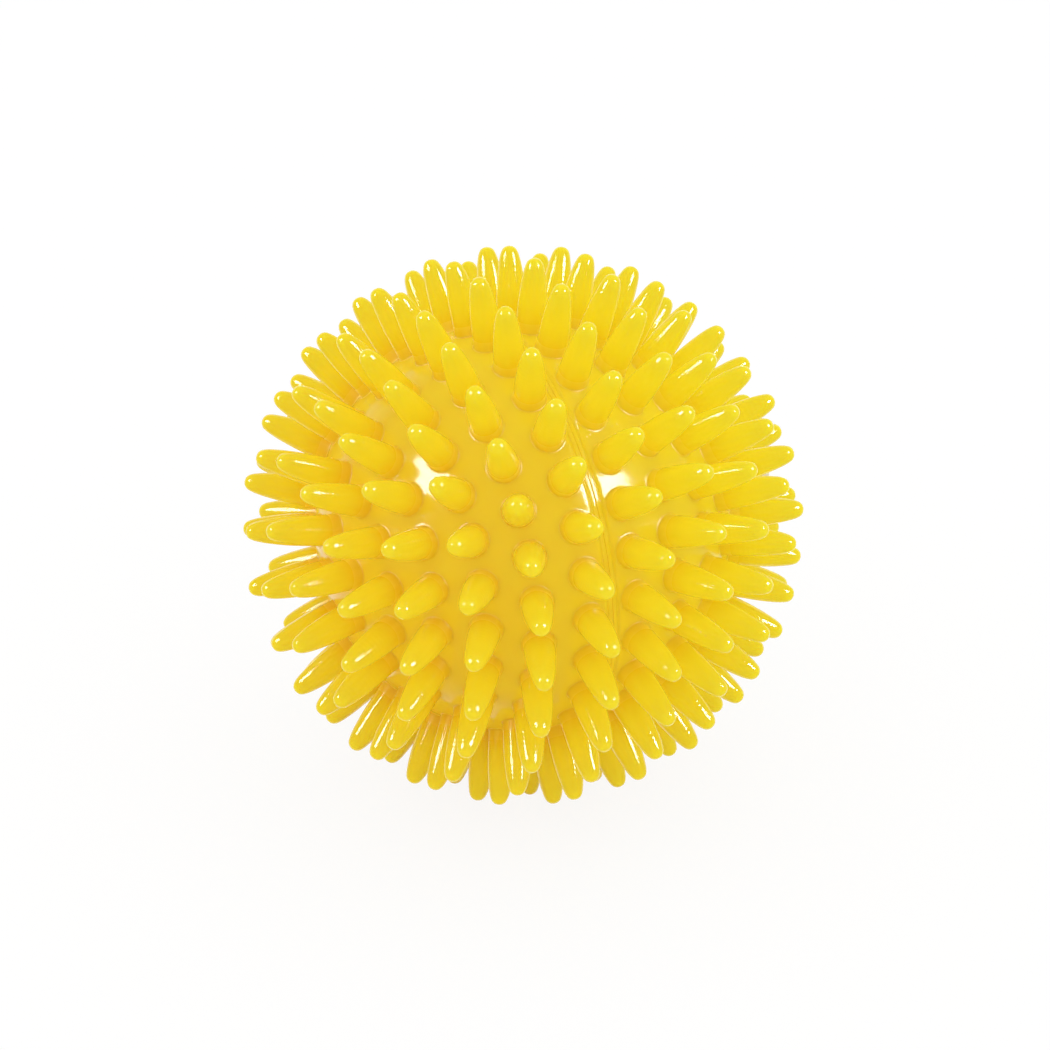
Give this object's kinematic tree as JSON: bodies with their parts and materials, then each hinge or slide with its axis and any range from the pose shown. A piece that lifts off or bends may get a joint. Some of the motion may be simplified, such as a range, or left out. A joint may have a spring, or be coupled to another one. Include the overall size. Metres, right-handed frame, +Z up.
{
  "type": "spiky massage ball",
  "caption": "Hollow soft yellow massage ball covered in blunt radial spikes, in two halves joined at a raised seam, with an air valve and a pull-out stopper",
  "frame": {"origin": "on the plane that the ball stands on, straight below the ball's centre", "axes": "+Z up; X is the mould axis through the two poles, with the valve on the +X side and the seam in the plane X = 0; -Y is the front"},
  "size_m": [0.0788, 0.0792, 0.0785],
  "materials": {
    "shell": "glossy, slightly translucent soft PVC, lemon yellow",
    "bush": "satin soft PVC, amber yellow",
    "stopper": "satin natural polyethylene"
  },
  "bodies": {
    "ball": {"left_half_shell": "shell", "right_half_shell": "shell", "valve_bush": "bush"},
    "stopper": {"valve_stopper": "stopper"}
  },
  "joints": [
    {"name": "stopper_pull", "type": "slide", "parent": "ball", "child": "stopper", "axis": [1, 0, 0], "range_m": [0, 0.014]}
  ]
}
